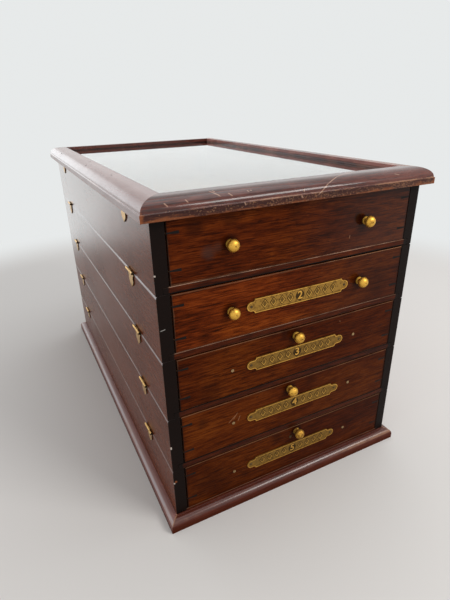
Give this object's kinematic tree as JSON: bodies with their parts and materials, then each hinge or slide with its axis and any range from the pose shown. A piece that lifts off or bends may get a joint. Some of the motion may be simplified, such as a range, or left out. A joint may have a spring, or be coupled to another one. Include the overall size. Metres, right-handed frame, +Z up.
{
  "type": "flatware storage box",
  "caption": "Stack of hinged tray cases on a moulded base, each with a dovetailed drawer that has brass knobs, under a glazed moulded lid.",
  "frame": {"origin": "centre of the base's underside", "axes": "+Z up, drawer fronts facing -Y, hinges on the -X side"},
  "size_m": [0.298, 0.5096, 0.3355],
  "materials": {
    "polished_mahogany": "dark, French-polished",
    "drawer_front_mahogany": "reddish, polished",
    "drawer_lining_wood": "plain, unpolished",
    "brass": "aged, polished on the knobs",
    "clear_glass": "clear, polished"
  },
  "bodies": {
    "base_case": {"base_board": "polished_mahogany", "base_rails": "polished_mahogany", "base_stiles": "polished_mahogany", "case_5_sides": "polished_mahogany", "case_5_bottom": "polished_mahogany", "case_5_back": "polished_mahogany", "hinge_4_fixed": "brass"},
    "case_1": {"case_1_sides": "polished_mahogany", "case_1_bottom": "polished_mahogany", "case_1_back": "polished_mahogany", "hinge_lid_fixed": "brass", "hinge_1_moving": "brass"},
    "drawer_1": {"drawer_1_front": "drawer_front_mahogany", "drawer_1_boards": "drawer_lining_wood", "drawer_1_bottom": "drawer_lining_wood", "drawer_1_knobs": "brass"},
    "case_2": {"case_2_sides": "polished_mahogany", "case_2_bottom": "polished_mahogany", "case_2_back": "polished_mahogany", "hinge_1_fixed": "brass", "hinge_2_moving": "brass"},
    "drawer_2": {"drawer_2_front": "drawer_front_mahogany", "drawer_2_boards": "drawer_lining_wood", "drawer_2_bottom": "drawer_lining_wood", "drawer_2_knobs": "brass", "drawer_2_pins": "brass", "nameplate_2": "brass"},
    "case_3": {"case_3_sides": "polished_mahogany", "case_3_bottom": "polished_mahogany", "case_3_back": "polished_mahogany", "hinge_2_fixed": "brass", "hinge_3_moving": "brass"},
    "drawer_3": {"drawer_3_front": "drawer_front_mahogany", "drawer_3_boards": "drawer_lining_wood", "drawer_3_bottom": "drawer_lining_wood", "drawer_3_knobs": "brass", "drawer_3_pins": "brass", "nameplate_3": "brass"},
    "case_4": {"case_4_sides": "polished_mahogany", "case_4_bottom": "polished_mahogany", "case_4_back": "polished_mahogany", "hinge_3_fixed": "brass", "hinge_4_moving": "brass"},
    "drawer_4": {"drawer_4_front": "drawer_front_mahogany", "drawer_4_boards": "drawer_lining_wood", "drawer_4_bottom": "drawer_lining_wood", "drawer_4_knobs": "brass", "drawer_4_pins": "brass", "nameplate_4": "brass"},
    "drawer_5": {"drawer_5_front": "drawer_front_mahogany", "drawer_5_boards": "drawer_lining_wood", "drawer_5_bottom": "drawer_lining_wood", "drawer_5_knobs": "brass", "drawer_5_pins": "brass", "nameplate_5": "brass"},
    "lid": {"lid_rails": "polished_mahogany", "lid_stiles": "polished_mahogany", "lid_beads": "polished_mahogany", "lid_glass": "clear_glass", "hinge_lid_moving": "brass"}
  },
  "joints": [
    {"name": "lid_hinge", "type": "hinge", "parent": "case_1", "child": "lid", "pos_m": [-0.1416, 0, 0.3191], "axis": [0, -1, 0], "range_deg": [0, 95]},
    {"name": "case_1_hinge", "type": "hinge", "parent": "case_2", "child": "case_1", "pos_m": [-0.1416, 0, 0.2571], "axis": [0, -1, 0], "range_deg": [0, 25]},
    {"name": "case_2_hinge", "type": "hinge", "parent": "case_3", "child": "case_2", "pos_m": [-0.1416, 0, 0.1951], "axis": [0, -1, 0], "range_deg": [0, 25]},
    {"name": "case_3_hinge", "type": "hinge", "parent": "case_4", "child": "case_3", "pos_m": [-0.1416, 0, 0.1331], "axis": [0, -1, 0], "range_deg": [0, 25]},
    {"name": "case_4_hinge", "type": "hinge", "parent": "base_case", "child": "case_4", "pos_m": [-0.1416, 0, 0.0711], "axis": [0, -1, 0], "range_deg": [0, 25]},
    {"name": "drawer_1_slide", "type": "slide", "parent": "case_1", "child": "drawer_1", "axis": [0, -1, 0], "range_m": [0, 0.4]},
    {"name": "drawer_2_slide", "type": "slide", "parent": "case_2", "child": "drawer_2", "axis": [0, -1, 0], "range_m": [0, 0.4]},
    {"name": "drawer_3_slide", "type": "slide", "parent": "case_3", "child": "drawer_3", "axis": [0, -1, 0], "range_m": [0, 0.4]},
    {"name": "drawer_4_slide", "type": "slide", "parent": "case_4", "child": "drawer_4", "axis": [0, -1, 0], "range_m": [0, 0.4]},
    {"name": "drawer_5_slide", "type": "slide", "parent": "base_case", "child": "drawer_5", "axis": [0, -1, 0], "range_m": [0, 0.4]}
  ]
}
